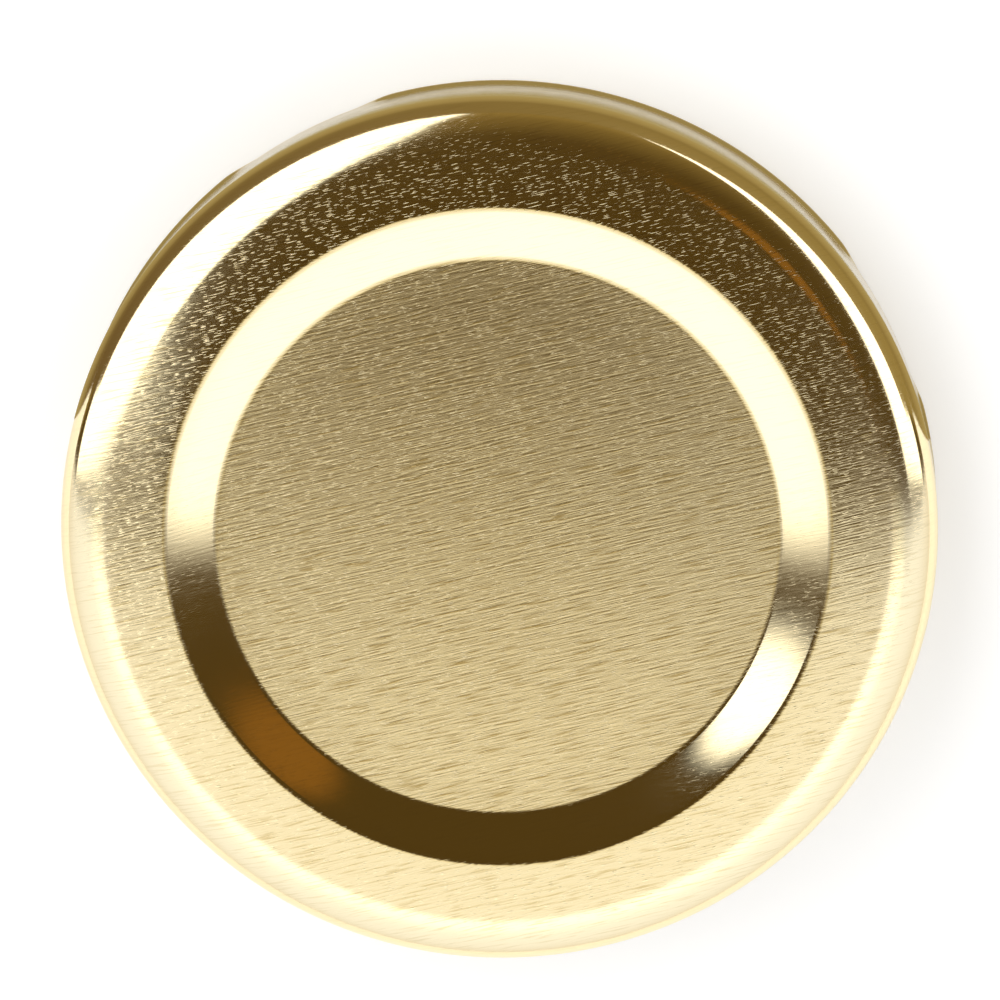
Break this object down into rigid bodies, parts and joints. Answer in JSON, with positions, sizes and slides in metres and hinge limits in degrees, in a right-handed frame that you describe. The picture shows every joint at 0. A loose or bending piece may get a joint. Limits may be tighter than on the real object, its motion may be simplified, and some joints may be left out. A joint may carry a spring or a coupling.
{
  "type": "twist-off jar lid",
  "caption": "Low round twist-off lid of gold-lacquered brushed tinplate with a sunk centre panel, rolled rim, pressed lugs and a sealing ring.",
  "frame": {"origin": "middle of the rolled rim, on the plane that the lid rests on", "axes": "+Z along the lid's axis, from the rim to the panel; the middle of the first lug lies 27 degrees from +X towards +Y"},
  "size_m": [0.0566, 0.0566, 0.0102],
  "materials": {
    "lacquered_tinplate": "brushed tinplate under transparent gold lacquer, satin on the panel and glossy on the bent edges",
    "sealing_compound": "cured off-white compound, satin"
  },
  "bodies": {
    "root": {"lid_shell": "lacquered_tinplate", "sealing_ring": "sealing_compound"}
  },
  "joints": []
}
